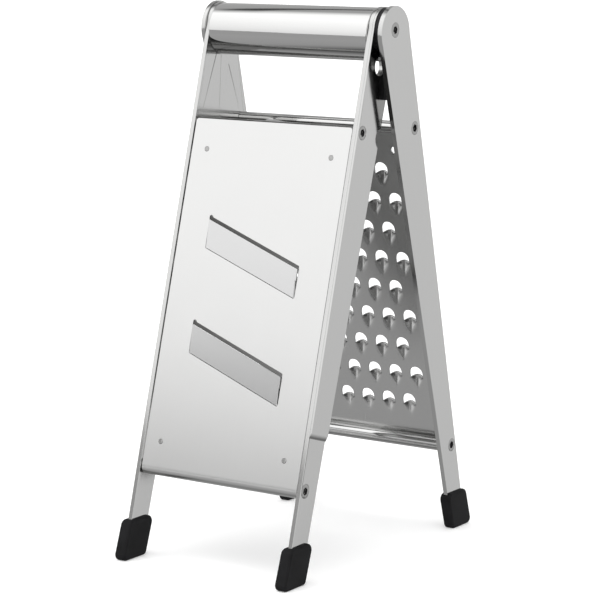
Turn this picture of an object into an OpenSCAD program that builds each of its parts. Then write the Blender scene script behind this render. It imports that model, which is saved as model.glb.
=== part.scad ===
// Folding A-frame mandoline slicer with a grater panel on the back leg.
// Frame: +Z up, X across the slicer, the slicer panel faces -Y. Z = 0 is the table,
// X = Y = 0 is the middle of the footprint, straight below the hinge axis.
// The right side carries a doubler and a hinge spacer that the left side lacks, so the
// slicer frame's own middle plane lies beside X = 0, at X = stand_shift.
//
// Both legs are drawn in leg coordinates: the hinge axis is the origin, -Z runs down
// the leg to its foot, and +Y points away from the other leg. A distance called
// "down" is measured from the hinge axis along the leg, and "out" is along +Y.

/* [Stand] */
// Height of the hinge axis above the table
pivot_height = 287; // [270:1:300]
// Lean of each leg from the vertical when the stand is open
lean = 16; // [14:0.5:18]
// Angle left between the legs when the stand is folded
folded_angle = 5; // [5:0.5:8]

/* [Widths across the slicer, from the slicer frame's middle plane] */
// Inner face of a slicer leg bar
front_inner = 50.7; // [45:0.1:55]
// Thickness of a slicer leg bar
front_bar_t = 2.5; // [2:0.1:4]
// Thickness of the doubler strip outside the right slicer leg bar
doubler_t = 1.2; // [0.8:0.1:1.5]
// Gap between the doubler and the right grater leg bar, filled by the hinge spacer
hinge_gap = 3.3; // [2.8:0.1:3.8]
// Thickness of a grater leg bar
rear_bar_t = 2.5; // [2:0.1:3]

/* [Leg bars] */
// Length of a leg bar below the hinge axis
bar_length = 293; // [285:1:295]
// Radius of the round head of a slicer leg bar
front_head_r = 12.2; // [12.2:0.1:14]
// Half width of a slicer leg bar just below its head
front_half_top = 12.1; // [11:0.1:12.4]
// Radius of the round head of a grater leg bar
rear_head_r = 14.6; // [13:0.1:14.8]
// How far the grater bar's head centre sits below the hinge axis
rear_head_drop = 1.9; // [0:0.1:2]
// Half width of a grater leg bar at the height of the hinge axis
rear_half_top = 14.4; // [12:0.1:14.4]
// Half width of a leg bar at its foot end
foot_half = 7.1; // [6:0.1:8]
// Length of the doubler strip below the hinge axis
doubler_length = 220.5; // [200:0.5:230]
// Height of the slope at the doubler's lower end
doubler_slope = 3; // [0.5:0.1:3.5]
// Radius of the round hole below the right hinge
hang_hole_r = 5; // [3:0.1:6]
// Distance of that hole below the hinge axis
hang_hole_down = 20; // [19:0.5:24]

/* [Cross rods] */
// Radius of a cross rod
rod_r = 3.3; // [3:0.1:3.5]
// Upper rods: distance down from the hinge axis
upper_rod_down = 57.5; // [55:0.5:60]
// Lower rods: distance down from the hinge axis
lower_rod_down = 248; // [240:1:252]
// Slicer leg: distance of the upper rod out from the bar's centre line
front_upper_out = 6.6; // [6:0.1:7]
// Slicer leg: distance of the lower rod out from the bar's centre line
front_lower_out = 3.45; // [3:0.05:4]
// Grater leg: distance of the upper rod out from the bar's centre line
rear_upper_out = 7.1; // [6:0.1:8]
// Grater leg: distance of the lower rod out from the bar's centre line
rear_lower_out = 3.6; // [3:0.05:4]
// Radius of the notch in a slicer bar that takes the grater's upper rod
notch_r = 5.5; // [5.3:0.1:6]

/* [Screws] */
// Radius of a rod screw's thread
rod_screw_r = 2; // [1.5:0.1:2.2]
// Radius of a rod screw's countersunk head
rod_screw_head_r = 3.7; // [3:0.1:4]
// Radius of a hinge screw's shank
pivot_screw_r = 2.5; // [2:0.1:3]
// Radius of a hinge screw's countersunk head
pivot_screw_head_r = 4; // [3.5:0.1:4.5]
// Width across corners of a hexagon socket
socket_corners = 4.4; // [2.5:0.1:4.6]

/* [Handle] */
// Outer radius of the handle tube
handle_r = 14.3; // [12:0.1:15]
// Wall of the handle tube
handle_wall = 1.2; // [1:0.1:2]
// How far the tube's axis lies below the hinge axis
handle_drop = 2.6; // [0:0.1:3]
// Length of the plug in each end of the tube
plug_length = 10; // [8:0.5:20]

/* [Panels] */
// Thickness of the two sheet panels
sheet_t = 1; // [0.8:0.1:1.2]
// Distance that a panel reaches above its upper rod's axis
panel_above_rod = 1.8; // [0.5:0.1:3]
// Side gap between a panel and the leg bars
panel_side_gap = 0.2; // [0.1:0.1:1]
// Wider side gap at the slicer panel's left edge
panel_left_gap = 0.9; // [0.1:0.1:1.5]

/* [Slicing slots and blades] */
// Width of a slot across the slicer
slot_width = 61.6; // [50:0.2:70]
// Height of a slot along the panel
slot_height = 17.7; // [14:0.1:20]
// Slope of a slot's long edges
slot_slope = 20; // [10:1:25]
// Distance of the upper slot's centre down from the hinge axis
upper_slot_down = 129; // [120:0.5:135]
// Distance between the two slots' centres
slot_spacing = 57.6; // [50:0.2:60]
// Open gap above a cutting edge, along the panel
blade_gap = 1.9; // [1:0.1:3]
// Hairline gap around the rest of a blade
blade_seam = 0.35; // [0.2:0.05:0.6]
// Wider gap beside the lower part of a blade's right end
blade_side_gap = 1; // [0.5:0.1:1.5]
// Thickness of a blade
blade_t = 0.8; // [0.6:0.1:1]
// How far a cutting edge stands above the panel
blade_rise = 1; // [0.5:0.1:1.5]
// Depth of the blade's flange under the panel
flange_depth = 8; // [5:0.5:10]
// Length of the ramp that leads from a slot's upper edge in behind the blade
ramp_length = 3.7; // [1:0.1:4]

/* [Panel clips and rivets] */
// Distance of the rivets across from the middle plane
rivet_across = 40; // [30:0.5:45]
// Distance of the upper rivets down from the hinge axis
upper_rivet_down = 72.5; // [68:0.5:78]
// Distance of the lower rivets down from the hinge axis
lower_rivet_down = 234; // [228:0.5:238]
// Radius of a rivet
rivet_r = 1.4; // [1:0.1:2]
// Width of a clip
clip_width = 10; // [6:0.5:14]
// Thickness of a clip
clip_t = 0.8; // [0.6:0.1:1]

/* [Grater teeth] */
// Rows of teeth
tooth_rows = 9; // [3:1:9]
// Teeth in each row
tooth_columns = 6; // [2:1:6]
// Pitch of the teeth across the panel
tooth_pitch = 13.8; // [12:0.1:15]
// Pitch of the rows
row_pitch = 17.58; // [15:0.02:18]
// Distance of the lowest row's lips down from the hinge axis
lowest_row_down = 227.8; // [220:0.2:230]
// Radius of the round top of a tooth's opening
tooth_r = 4.1; // [3:0.1:4.5]
// Height of the straight sides of a tooth's opening
tooth_side = 3; // [1:0.1:4]
// Height of a tooth above the sheet
tooth_height = 1.8; // [1:0.1:2.5]
// Length of a tooth's sloping hood
hood_length = 7; // [6:0.5:9]
// Radius of the two round holes near the top of the grater panel
locating_hole_r = 2; // [1:0.1:2.5]
// Distance of those holes across from the middle plane
locating_hole_across = 41; // [35:0.5:50]

/* [Hinge spacer and stop] */
// Radius of the hinge spacer
spacer_r = 11.6; // [11:0.1:12]
// Length of the spacer's tail below the hinge axis
spacer_tail = 36; // [34:0.5:40]
// Radius of the arc on which the stop pin travels
stop_arc_r = 8; // [7.5:0.1:9]
// Radius of the stop pin
stop_pin_r = 1.5; // [1:0.1:1.8]

/* [Feet] */
// Height of a rubber foot
foot_height = 21.5; // [18:0.5:26]
// Length of a foot's sole along Y
foot_sole = 21.4; // [20:0.2:23]
// Distance that the sole's middle lies outside the leg's centre line
foot_shift = 1.6; // [1:0.1:2]
// Lean of a foot's two ends from the vertical
foot_lean = 19; // [18:0.5:20]
// Chamfer on a foot's corners
foot_chamfer = 3; // [0.5:0.1:4]
// Rubber beyond each face of a slicer leg bar: inner face
front_foot_inner_wall = 2.2; // [1.5:0.05:2.5]
// Rubber beyond each face of a slicer leg bar: outer face
front_foot_outer_wall = 2.3; // [1.2:0.05:2.5]
// Rubber beyond each face of a grater leg bar
rear_foot_wall = 2.1; // [1.5:0.1:2.2]

/* [Hidden] */
$fn = 64;
running = 0.06;       // radial clearance where two legs turn on each other
snug = 0.05;          // radial clearance between pieces of one leg
face_gap = 0.1;       // clearance between faces that slide past each other
cut = 1;              // overshoot of a cutting shape past the face it opens

front_outer = front_inner + front_bar_t;
doubler_outer = front_outer + doubler_t;

// Distances from the slicer frame's middle plane, on the right (side = 1) or the left
function front_face(side) = side > 0 ? doubler_outer : front_outer;
function rear_inner(side) = side > 0 ? doubler_outer + hinge_gap : front_outer + face_gap;
function rear_outer(side) = rear_inner(side) + rear_bar_t;
stand_shift = (rear_outer(-1) - rear_outer(1)) / 2;

open_angle = 2 * lean;
upper_rod_reach = norm([upper_rod_down, rear_upper_out]);
upper_rod_angle = atan2(rear_upper_out, upper_rod_down);
notch_angle = upper_rod_angle + folded_angle + 0.7;
handle_inner_r = handle_r - handle_wall;
tube_half = front_inner - snug;
head_cone = 1.7;      // depth of a countersunk head
screw_reach = 14;     // length of a rod screw's thread inside its rod
sheet_back = rod_r + 0.03;  // a panel's back, in panel coordinates

// ---- placing and basic shapes ----------------------------------------------------

// Leg coordinates to the stand, for the grater leg behind the hinge
module rear_leg()
    translate([stand_shift, 0, pivot_height]) rotate([lean, 0, 0]) children();

// Leg coordinates to the stand, for the slicer leg in front of the hinge
module front_leg() mirror([0, 1, 0]) rear_leg() children();

// Draws its child on the right (side = 1) or mirrors it to the left (side = -1)
module on_side(side) mirror([side < 0 ? 1 : 0, 0, 0]) children();

// Extrudes an outline drawn in (Y, Z) along X, from x to x + width
module slab(x, width)
    translate([x, 0, 0]) rotate([90, 0, 90]) linear_extrude(width) children();

// A round bar or bore along X, from x to x + length
module rod_along_x(x, length, r)
    translate([x, 0, 0]) rotate([0, 90, 0]) cylinder(h = length, r = r);

// A countersunk hole or a screw's body along -X, with its head flush at x = 0
module countersunk(shank_r, head_r, length)
    rotate([0, -90, 0]) rotate_extrude()
        polygon([[0, 0], [head_r, 0], [head_r, 0.3], [shank_r, head_cone],
                 [shank_r, length], [0, length]]);

// A countersunk screw along -X with a hexagon socket in its head
module screw(shank_r, head_r, length)
    difference() {
        countersunk(shank_r, head_r, length);
        rotate([0, -90, 0]) translate([0, 0, -cut])
            cylinder(h = cut + 1.4, d = socket_corners, $fn = 6);
    }

// ---- leg bars --------------------------------------------------------------------

function front_half(down) = front_half_top + (foot_half - front_half_top) * down / bar_length;

// Tapered bar with a round head, from x to x + width, down to the given distance
module tapered_bar(x, width, head_r, head_drop, half_top, half_end, down, grow)
    union() {
        slab(x, width) translate([0, -head_drop]) circle(r = head_r + grow);
        slab(x, width)
            polygon([[-half_top - grow, 0], [half_top + grow, 0],
                     [half_end + grow, -down - grow], [-half_end - grow, -down - grow]]);
    }

// Body of a slicer leg bar or of the doubler
module front_blank(x, width, down, grow = 0)
    tapered_bar(x, width, front_head_r, 0, front_half(0), front_half(down), down, grow);

// Body of a grater leg bar
module rear_blank(x, width, grow = 0)
    tapered_bar(x, width, rear_head_r, rear_head_drop, rear_half_top, foot_half,
                bar_length, grow);

// Centre of the notch for the grater's upper rod, in a slicer bar's outline
module at_notch()
    rotate(-notch_angle) translate([0, -upper_rod_reach]) children();

// Holes and notch through a slicer bar and its doubler
module front_cuts(side)
    slab(front_inner - cut, front_bar_t + doubler_t + 2 * cut) {
        at_notch() circle(r = notch_r);
        circle(r = pivot_screw_r + snug);
        if (side > 0) translate([0, -hang_hole_down]) circle(r = hang_hole_r);
    }

// Places its child at the two slicer rods' ends, flush with the outer faces
module at_front_rods(side) {
    translate([front_face(side), front_upper_out, -upper_rod_down]) children();
    translate([front_outer, front_lower_out, -lower_rod_down]) children();
}

// Places its child at the two grater rods' ends, flush with the bar's outer face
module at_rear_rods(side) {
    translate([rear_outer(side), rear_upper_out, -upper_rod_down]) children();
    translate([rear_outer(side), rear_lower_out, -lower_rod_down]) children();
}

module front_bar(side)
    color("silver") front_leg() on_side(side) difference() {
        front_blank(front_inner, front_bar_t, bar_length);
        front_cuts(side);
        at_front_rods(side)
            countersunk(rod_screw_r + snug, rod_screw_head_r + snug, 2 * front_bar_t);
    }

module doubler()
    color("silver") front_leg() difference() {
        front_blank(front_outer, doubler_t, doubler_length);
        front_cuts(1);
        translate([doubler_outer, front_upper_out, -upper_rod_down])
            countersunk(rod_screw_r + snug, rod_screw_head_r + snug, 2 * front_bar_t);
        // sloping lower end
        translate([doubler_outer, 2 * front_head_r, -doubler_length]) rotate([90, 0, 0])
            linear_extrude(4 * front_head_r)
                polygon([[0.2 - doubler_t, 0], [0, doubler_slope], [cut, doubler_slope],
                         [cut, -cut], [0.2 - doubler_t, -cut]]);
    }

module rear_bar(side)
    color("silver") rear_leg() on_side(side) difference() {
        rear_blank(rear_inner(side), rear_bar_t);
        translate([rear_outer(side), 0, 0])
            countersunk(pivot_screw_r + running, pivot_screw_head_r + running, 2 * rear_bar_t);
        at_rear_rods(side)
            countersunk(rod_screw_r + snug, rod_screw_head_r + snug, 2 * rear_bar_t);
        // blind hole that holds the stop pin
        if (side > 0) translate([0, 0, -stop_arc_r])
            rod_along_x(rear_inner(1) - cut, cut + rear_bar_t - 0.8, stop_pin_r + 0.01);
    }

// ---- cross rods and screws -------------------------------------------------------

// A rod that reaches "left" and "right" of the middle plane, threaded at both ends
module cross_rod(left, right)
    difference() {
        rod_along_x(-left, left + right, rod_r);
        for (end = [[-1, left], [1, right]]) on_side(end[0])
            rod_along_x(end[1] - screw_reach - 1, screw_reach + 1 + cut, rod_screw_r + snug);
    }

module front_rod(down, out)
    color("gainsboro") front_leg() translate([0, out, -down])
        cross_rod(front_inner, front_inner);

module rear_rod(down, out)
    color("gainsboro") rear_leg() translate([0, out, -down])
        cross_rod(rear_inner(-1), rear_inner(1));

module front_rod_screws()
    color("darkgray") front_leg() for (side = [-1, 1]) on_side(side) {
        translate([front_face(side), front_upper_out, -upper_rod_down])
            screw(rod_screw_r, rod_screw_head_r, screw_reach + front_face(side) - front_inner);
        translate([front_outer, front_lower_out, -lower_rod_down])
            screw(rod_screw_r, rod_screw_head_r, screw_reach + front_bar_t);
    }

module rear_rod_screws()
    color("darkgray") rear_leg() for (side = [-1, 1]) on_side(side) at_rear_rods(side)
        screw(rod_screw_r, rod_screw_head_r, screw_reach + rear_bar_t);

// ---- panels ----------------------------------------------------------------------

// Panel coordinates: origin on the upper rod's axis, -Z down the panel to the lower
// rod's axis; the sheet lies against both rods, on their outer side.
module panel_place(upper_out, lower_out)
    translate([0, upper_out, -upper_rod_down])
        rotate([-atan2(upper_out - lower_out, lower_rod_down - upper_rod_down), 0, 0])
            children();

function rod_span(upper_out, lower_out)
    = norm([lower_rod_down - upper_rod_down, upper_out - lower_out]);

front_span = rod_span(front_upper_out, front_lower_out);
rear_span = rod_span(rear_upper_out, rear_lower_out);

module slicer_place() front_leg() panel_place(front_upper_out, front_lower_out) children();

// The grater panel is centred between its own bars, on the middle of the footprint
module grater_place()
    rear_leg() translate([-stand_shift, 0, 0]) panel_place(rear_upper_out, rear_lower_out)
        children();

// Flat sheet from x to x + width, with its lower edge curled under the lower rod
module sheet(x, width, span)
    union() {
        translate([x, sheet_back, -span]) cube([width, sheet_t, span + panel_above_rod]);
        translate([0, 0, -span]) difference() {
            rod_along_x(x, width, sheet_back + sheet_t);
            rod_along_x(x - cut, width + 2 * cut, sheet_back);
            translate([x - cut, -2 * rod_r, 0]) cube([width + 2 * cut, 4 * rod_r, 2 * rod_r]);
        }
    }

// Drills along Y through a panel at (x, down)
module panel_drill(x, down, r)
    translate([x, 0, upper_rod_down - down]) rotate([-90, 0, 0])
        cylinder(h = 2 * rod_r + sheet_t, r = r);

// Parallelogram with upright ends and sloping long edges, centred on the origin
module slanted(left, right, top, bottom)
    polygon([for (p = [[left, top], [right, top], [right, bottom], [left, bottom]])
             [p[0], p[1] - p[0] * tan(slot_slope)]]);

// Stands its outline up in panel coordinates around the slot whose centre is "down"
module at_slot(down, y, depth)
    translate([0, y + depth, upper_rod_down - down]) rotate([90, 0, 0])
        linear_extrude(depth) children();

slot_downs = [upper_slot_down, upper_slot_down + slot_spacing];

// Extrudes a section along a slot. The section's origin is on the panel's front face at
// the slot's lower edge, +X points out of the panel and +Y up to the slot's upper edge.
module along_slot(down)
    translate([0, sheet_back + sheet_t, upper_rod_down - down]) rotate([0, slot_slope, 0])
        translate([-slot_width, 0, (blade_seam - slot_height / 2) * cos(slot_slope)])
            rotate([90, 0, 90]) linear_extrude(2 * slot_width) children();

// Ramp from a slot's upper edge in behind the blade
slot_reach = (slot_height - blade_seam) * cos(slot_slope);
module slot_ramp(down)
    intersection() {
        along_slot(down)
            translate([-0.5, slot_reach + 0.6]) rotate(226) translate([0, -0.4])
                square([ramp_length, 0.8]);
        at_slot(down, -rod_r, 3 * rod_r)
            slanted(-slot_width / 2 - 2.5, slot_width / 2 + 2.5, slot_height, -slot_height);
    }

module slicer_panel()
    color("lightgray") slicer_place() union() {
        difference() {
            sheet(panel_left_gap - front_inner,
                  2 * front_inner - panel_left_gap - panel_side_gap, front_span);
            for (down = slot_downs) at_slot(down, sheet_back - cut, sheet_t + 2 * cut)
                slanted(-slot_width / 2, slot_width / 2, slot_height / 2, -slot_height / 2);
            for (x = [-rivet_across, rivet_across], down = [upper_rivet_down, lower_rivet_down])
                panel_drill(x, down, rivet_r + snug);
        }
        for (down = slot_downs) slot_ramp(down);
    }

// Section of a blade across its cutting edge
blade_reach = (slot_height - blade_gap - blade_seam) * cos(slot_slope);
module blade_section()
    polygon([[0, 0], [blade_rise, blade_reach], [blade_rise - 0.15, blade_reach],
             [blade_rise - blade_t - 0.1, blade_reach - 2.4], [-blade_t, 1],
             [-sheet_t - snug - blade_t, 0.4], [-sheet_t - snug - blade_t, -flange_depth],
             [-sheet_t - snug, -flange_depth], [-sheet_t - snug, -0.25]]);

// A blade fills its slot up to the gap above the cutting edge; its flange lies behind
// the panel, under the slot
module blade(down)
    color("whitesmoke") slicer_place() intersection() {
        along_slot(down) blade_section();
        at_slot(down, -rod_r, 3 * rod_r) union() {
            slanted(-slot_width / 2 + blade_seam, slot_width / 2 - blade_seam,
                    slot_height / 2, 0);
            slanted(-slot_width / 2 + blade_seam, slot_width / 2 - blade_side_gap,
                    0.1, -slot_height);
        }
    }

// ---- clips and rivets behind the slicer panel ------------------------------------

// A clip around a rod: its tail lies on the panel's back and reaches past a rivet
module clip(tail)
    difference() {
        union() {
            rod_along_x(-clip_width / 2, clip_width, rod_r + snug + clip_t);
            translate([-clip_width / 2, rod_r - snug - clip_t, -tail])
                cube([clip_width, clip_t, tail]);
        }
        rod_along_x(-clip_width, 2 * clip_width, rod_r + snug);
        translate([-clip_width, rod_r - snug, -2 * tail])
            cube([2 * clip_width, 2 * rod_r, 4 * tail]);
        // the hook ends behind the rod
        translate([-clip_width, -2 * rod_r, 1.2])
            cube([2 * clip_width, 4 * rod_r, 3 * rod_r]);
        translate([-clip_width, 0, 0]) cube([2 * clip_width, 2 * rod_r, 3 * rod_r]);
    }

upper_tail = upper_rivet_down - upper_rod_down + 4;
lower_tail = lower_rod_down - lower_rivet_down + 4;

// The lower clip stops short of the panel's curled edge
module lower_clip()
    difference() {
        mirror([0, 0, 1]) clip(lower_tail);
        translate([-clip_width, -2 * rod_r, -3 * rod_r])
            cube([2 * clip_width, 4 * rod_r, 3 * rod_r + 0.1]);
    }

module panel_clips()
    color("silver") slicer_place() difference() {
        for (x = [-rivet_across, rivet_across]) {
            translate([x, 0, 0]) clip(upper_tail);
            translate([x, 0, -front_span]) lower_clip();
        }
        for (x = [-rivet_across, rivet_across], down = [upper_rivet_down, lower_rivet_down])
            panel_drill(x, down, rivet_r + snug);
    }

module panel_rivets()
    color("darkgray") slicer_place()
        for (x = [-rivet_across, rivet_across], down = [upper_rivet_down, lower_rivet_down])
            translate([x, 0, upper_rod_down - down]) rotate([-90, 0, 0]) union() {
                cylinder(h = sheet_back + sheet_t, r = rivet_r);
                cylinder(h = rod_r - 2 * snug - clip_t, r = 2 * rivet_r);
            }

// ---- grater panel ----------------------------------------------------------------

// Places its child at every tooth: the middle of the straight lip of its opening.
// Alternate rows are shifted half a pitch.
module at_teeth()
    for (row = [0 : tooth_rows - 1], column = [0 : tooth_columns - 1])
        translate([(column - (tooth_columns - 1) / 2) * tooth_pitch
                       + (row % 2 == 0 ? -1 : 1) * tooth_pitch / 4,
                   sheet_back,
                   upper_rod_down - lowest_row_down + row * row_pitch])
            children();

// A leaning cone cut off at the lip. At the lip it stands "top" above the sheet's inner
// face with radius r, and it runs out into the height "root".
module hood(r, top, root)
    intersection() {
        translate([0, root - 0.2, -hood_length])
            rotate([atan((r + root - 0.2 - top) / hood_length), 0, 0])
                cylinder(h = 1.5 * hood_length, r1 = 0.2, r2 = 1.5 * r);
        translate([-2 * r, -4 * r, -hood_length - cut])
            cube([4 * r, 8 * r, hood_length + cut]);
    }

module grater_panel()
    color("gainsboro") grater_place() difference() {
        union() {
            sheet(stand_shift + panel_side_gap - rear_inner(-1),
                  rear_inner(-1) + rear_inner(1) - 2 * panel_side_gap, rear_span);
            at_teeth() hood(tooth_r + 0.8, sheet_t + tooth_height, sheet_t);
        }
        at_teeth() {
            // opening above the lip
            translate([-tooth_r, -cut, 0]) cube([2 * tooth_r, 4 * cut, tooth_side]);
            translate([0, -cut, tooth_side]) rotate([-90, 0, 0])
                cylinder(h = 4 * cut, r = tooth_r);
            // hollow under the hood
            hood(tooth_r, tooth_height, 0);
            // everything on the inner side of the sheet
            translate([-1.5 * tooth_r, -3 * tooth_r, -hood_length - cut])
                cube([3 * tooth_r, 3 * tooth_r, hood_length + 2 * cut]);
        }
        for (x = [-locating_hole_across, locating_hole_across])
            panel_drill(x, upper_rivet_down, locating_hole_r);
    }

// ---- handle ----------------------------------------------------------------------

module at_handle() front_leg() rotate([-lean, 0, 0]) translate([0, 0, -handle_drop]) children();

module handle_tube()
    color("gainsboro") at_handle() difference() {
        rod_along_x(-tube_half, 2 * tube_half, handle_r);
        rod_along_x(-tube_half - cut, 2 * tube_half + 2 * cut, handle_inner_r);
    }

// The plug is drilled off its own axis, on the hinge axis
module handle_plug(side)
    color("dimgray") at_handle() on_side(side) difference() {
        rod_along_x(tube_half - plug_length, plug_length, handle_inner_r - snug);
        translate([0, 0, handle_drop])
            rod_along_x(tube_half - plug_length - cut, plug_length + 2 * cut,
                        pivot_screw_r + snug);
    }

// ---- hinge -----------------------------------------------------------------------

module pivot_screws()
    color("darkgray") front_leg() for (side = [-1, 1]) on_side(side)
        translate([rear_outer(side), 0, 0])
            screw(pivot_screw_r, pivot_screw_head_r,
                  rear_outer(side) - tube_half + plug_length - 0.5);

// Curved slot, in a slicer bar's outline, in which the stop pin travels from the folded
// stand to the open one
module stop_slot()
    union() {
        intersection() {
            difference() {
                circle(r = stop_arc_r + stop_pin_r + running);
                circle(r = stop_arc_r - stop_pin_r - running);
            }
            polygon([[0, 0], for (a = [folded_angle : open_angle - folded_angle : open_angle])
                     3 * stop_arc_r * [-sin(a), -cos(a)]]);
        }
        for (a = [folded_angle, open_angle])
            rotate(-a) translate([0, -stop_arc_r]) circle(r = stop_pin_r + face_gap);
    }

// Disc with a tail that closes the hinge between the two bars
module hinge_spacer()
    color("black") front_leg() difference() {
        union() {
            slab(doubler_outer + face_gap / 2, hinge_gap - 1.5 * face_gap)
                circle(r = spacer_r);
            slab(doubler_outer + face_gap / 2, hinge_gap - 1.5 * face_gap)
                polygon([[-11, -3], [-16, 6 - spacer_tail], [-14.5, 1 - spacer_tail],
                         [-9.5, -spacer_tail], [-6.2, 9 - spacer_tail], [-6.2, -9]]);
        }
        slab(doubler_outer, hinge_gap) {
            circle(r = pivot_screw_r + snug);
            stop_slot();
        }
    }

module stop_pin()
    color("darkgray") rear_leg() translate([0, 0, -stop_arc_r])
        rod_along_x(rear_inner(1) - hinge_gap + 0.4,
                    hinge_gap - 0.4 + rear_bar_t - 0.9, stop_pin_r);

// ---- feet ------------------------------------------------------------------------

// Side outline of the grater leg's foot in (Y, Z), standing on Z = 0, corners cut off
foot_middle = pivot_height * tan(lean) + foot_shift;
foot_slant = foot_height * tan(foot_lean);
foot_corners = [[foot_middle - foot_sole / 2, 0], [foot_middle + foot_sole / 2, 0],
                [foot_middle + foot_sole / 2 - foot_slant, foot_height],
                [foot_middle - foot_sole / 2 - foot_slant, foot_height]];
function towards(a, b, d) = a + (b - a) / norm(b - a) * d;

module foot_outline()
    polygon([for (i = [0 : 3], end = [3, 1])
             towards(foot_corners[i], foot_corners[(i + end) % 4], foot_chamfer)]);

module front_foot(side)
    color("black") difference() {
        translate([stand_shift, 0, 0]) mirror([0, 1, 0]) on_side(side)
            slab(front_inner - front_foot_inner_wall,
                 front_bar_t + front_foot_inner_wall + front_foot_outer_wall) foot_outline();
        front_leg() on_side(side)
            front_blank(front_inner - snug, front_bar_t + 2 * snug, bar_length, snug);
    }

module rear_foot(side)
    color("black") difference() {
        translate([stand_shift, 0, 0]) on_side(side)
            slab(rear_inner(side) - rear_foot_wall, rear_bar_t + 2 * rear_foot_wall)
                foot_outline();
        rear_leg() on_side(side)
            rear_blank(rear_inner(side) - snug, rear_bar_t + 2 * snug, snug);
    }

// ---- nodes -----------------------------------------------------------------------

front_bar(-1);  // front_bar_left
front_bar(1);  // front_bar_right
doubler();
front_rod(upper_rod_down, front_upper_out);  // front_upper_rod
front_rod(lower_rod_down, front_lower_out);  // front_lower_rod
front_rod_screws();
slicer_panel();
blade(slot_downs[0]);  // upper_blade
blade(slot_downs[1]);  // lower_blade
panel_clips();
panel_rivets();
handle_tube();
handle_plug(-1);  // handle_plug_left
handle_plug(1);  // handle_plug_right
hinge_spacer();
pivot_screws();
front_foot(-1);  // front_foot_left
front_foot(1);  // front_foot_right
rear_bar(-1);  // rear_bar_left
rear_bar(1);  // rear_bar_right
rear_rod(upper_rod_down, rear_upper_out);  // rear_upper_rod
rear_rod(lower_rod_down, rear_lower_out);  // rear_lower_rod
rear_rod_screws();
grater_panel();
stop_pin();
rear_foot(-1);  // rear_foot_left
rear_foot(1);  // rear_foot_right
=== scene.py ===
"""Looks for the folding mandoline slicer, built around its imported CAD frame.

Lengths are in millimetres inside the builders and in metres on the finished meshes. Leg
coordinates follow the CAD: x across, y out of the leg, z up along it from the hinge axis.
Sheet coordinates are (x, n, v): n above the sheet's back face and v down the sheet from
the upper rod's axis.
"""
import math

import bmesh
import bpy
from mathutils import Matrix, Vector


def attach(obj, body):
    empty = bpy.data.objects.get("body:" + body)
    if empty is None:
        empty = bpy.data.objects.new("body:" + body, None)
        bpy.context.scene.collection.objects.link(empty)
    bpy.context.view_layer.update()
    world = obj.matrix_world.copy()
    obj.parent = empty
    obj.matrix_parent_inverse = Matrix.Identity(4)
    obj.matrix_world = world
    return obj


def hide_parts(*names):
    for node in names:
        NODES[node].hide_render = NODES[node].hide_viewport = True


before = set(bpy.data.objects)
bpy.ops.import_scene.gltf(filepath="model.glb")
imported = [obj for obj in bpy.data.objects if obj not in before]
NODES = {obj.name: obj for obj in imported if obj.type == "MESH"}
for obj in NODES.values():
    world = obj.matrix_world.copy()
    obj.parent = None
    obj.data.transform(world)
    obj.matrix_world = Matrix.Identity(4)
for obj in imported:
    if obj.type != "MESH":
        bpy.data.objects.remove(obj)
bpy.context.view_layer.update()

# ---- sizes shared with the CAD, in millimetres -----------------------------------
# legs: height of the hinge axis, lean from upright, and the bars' inner and outer faces
PIVOT = 287.0
LEAN = math.radians(16)
BAR_T = 2.5
BAR_LENGTH = 293.0
FRONT_INNER = 50.7
FRONT_OUTER = FRONT_INNER + BAR_T
REAR_INNER = {-1: 53.3, 1: 57.7}
REAR_HALF = (REAR_INNER[-1] + REAR_INNER[1]) / 2
DOUBLER_OUTER = FRONT_OUTER + 1.2
# the slicer's middle plane lies left of the grater's, which is x = 0
SHIFT = (REAR_INNER[-1] - REAR_INNER[1]) / 2
# cross rods: distances down the leg, and out of it at the upper and the lower rod
ROD_R, ROD_BORE_R = 3.3, 2.06
UPPER_ROD, LOWER_ROD = 57.5, 248.0
FRONT_RODS_OUT = (6.6, 3.45)
REAR_RODS_OUT = (7.1, 3.6)
# sheets: their back face lies on the rods
SHEET_BACK = ROD_R + 0.03
SHEET_T = 1.0
ABOVE_ROD = 1.8
SHEET_LEFT, SHEET_RIGHT = 0.9 - FRONT_INNER, FRONT_INNER - 0.2
RIVET_X, RIVET_R = 40, 1.46
RIVET_DOWNS = (72.5, 234.0)
# slots and blades
SLOT_W, SLOT_H = 61.6, 17.7
SLOT_SLOPE = math.radians(20)
SLOT_DOWNS = (129.0, 186.6)
BLADE_GAP, BLADE_SEAM, SIDE_GAP = 1.9, 0.35, 1.0
BLADE_T, BLADE_RISE, FLANGE = 0.8, 1.0, 8.0
BLADE_REACH = (SLOT_H - BLADE_GAP - BLADE_SEAM) * math.cos(SLOT_SLOPE)
# handle tube
HANDLE_R, HANDLE_WALL, HANDLE_DROP, TUBE_HALF = 14.3, 1.2, 2.6, 50.65
# grater teeth, and the two round holes above them
TOOTH_PITCH, ROW_PITCH, LOWEST_ROW = 13.8, 17.58, 227.8
TOOTH_ROWS, TOOTH_COLUMNS = 9, 6
TOOTH_R, TOOTH_SIDE, TOOTH_H, HOOD_L = 4.1, 3.0, 1.8, 7.0
LIP_ARCH = 1.7
ROUND_HOLE_X, ROUND_HOLE_V, ROUND_HOLE_R = 41.0, 15.0, 2.0
# feet, and half the width of a bar inside one
FOOT_H, FOOT_SOLE, FOOT_SHIFT, FOOT_LEAN = 21.5, 21.4, 1.6, math.radians(19)
FOOT_HALF = 7.1
FRONT_FOOT_WALLS, REAR_FOOT_WALL = (2.2, 2.3), 2.1


def scaled(matrix):
    """A matrix in millimetres turned into one from millimetres to metres."""
    return Matrix.Scale(0.001, 4) @ matrix


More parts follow.
